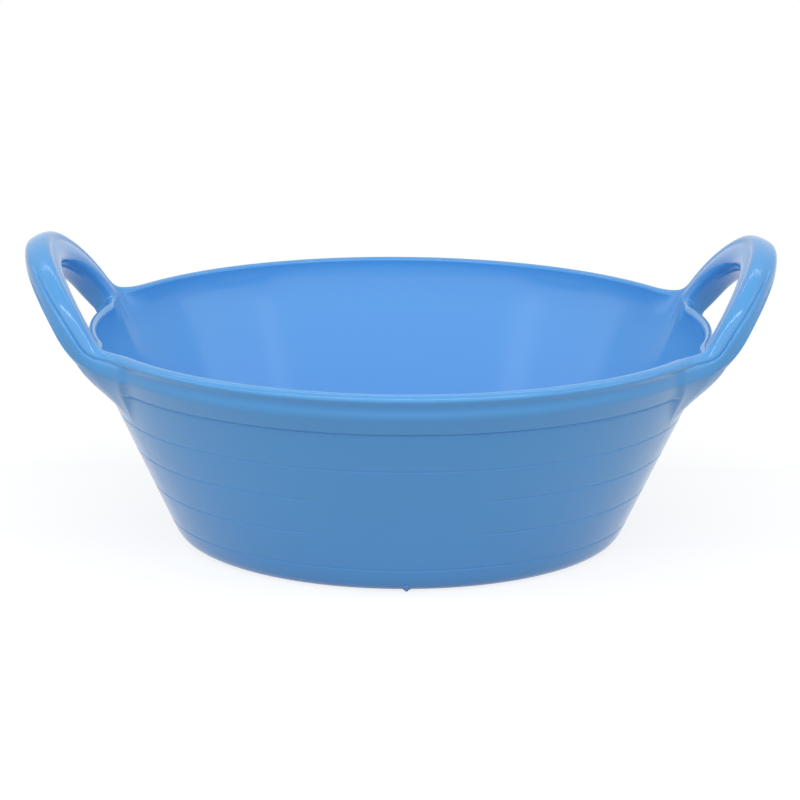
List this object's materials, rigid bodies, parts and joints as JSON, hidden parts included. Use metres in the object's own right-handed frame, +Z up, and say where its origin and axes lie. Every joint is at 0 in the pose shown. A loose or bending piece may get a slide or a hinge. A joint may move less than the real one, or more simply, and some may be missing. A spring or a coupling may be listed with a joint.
{
  "type": "feed tub",
  "caption": "Shallow round flexible tub with a rolled rim and two loop handles that flex at their roots.",
  "frame": {"origin": "centre of the foot's underside, on the ground the tub stands on", "axes": "+Z up along the tub's axis, +X through the middle of the right handle, +Y to the back"},
  "size_m": [0.5124, 0.44, 0.208],
  "materials": {
    "tub_plastic": "light blue low-density polyethylene, soft satin gloss"
  },
  "bodies": {
    "tub": {"tub_shell": "tub_plastic"},
    "handle_right": {"handle_right": "tub_plastic"},
    "handle_left": {"handle_left": "tub_plastic"}
  },
  "joints": [
    {"name": "handle_right_flex", "type": "hinge", "parent": "tub", "child": "handle_right", "pos_m": [0.21897, 0, 0.1602], "axis": [0, 1, 0], "range_deg": [-40, 12], "stiffness_Nm_per_rad": 2},
    {"name": "handle_left_flex", "type": "hinge", "parent": "tub", "child": "handle_left", "pos_m": [-0.21897, 0, 0.1602], "axis": [0, -1, 0], "range_deg": [-40, 12], "stiffness_Nm_per_rad": 2}
  ]
}
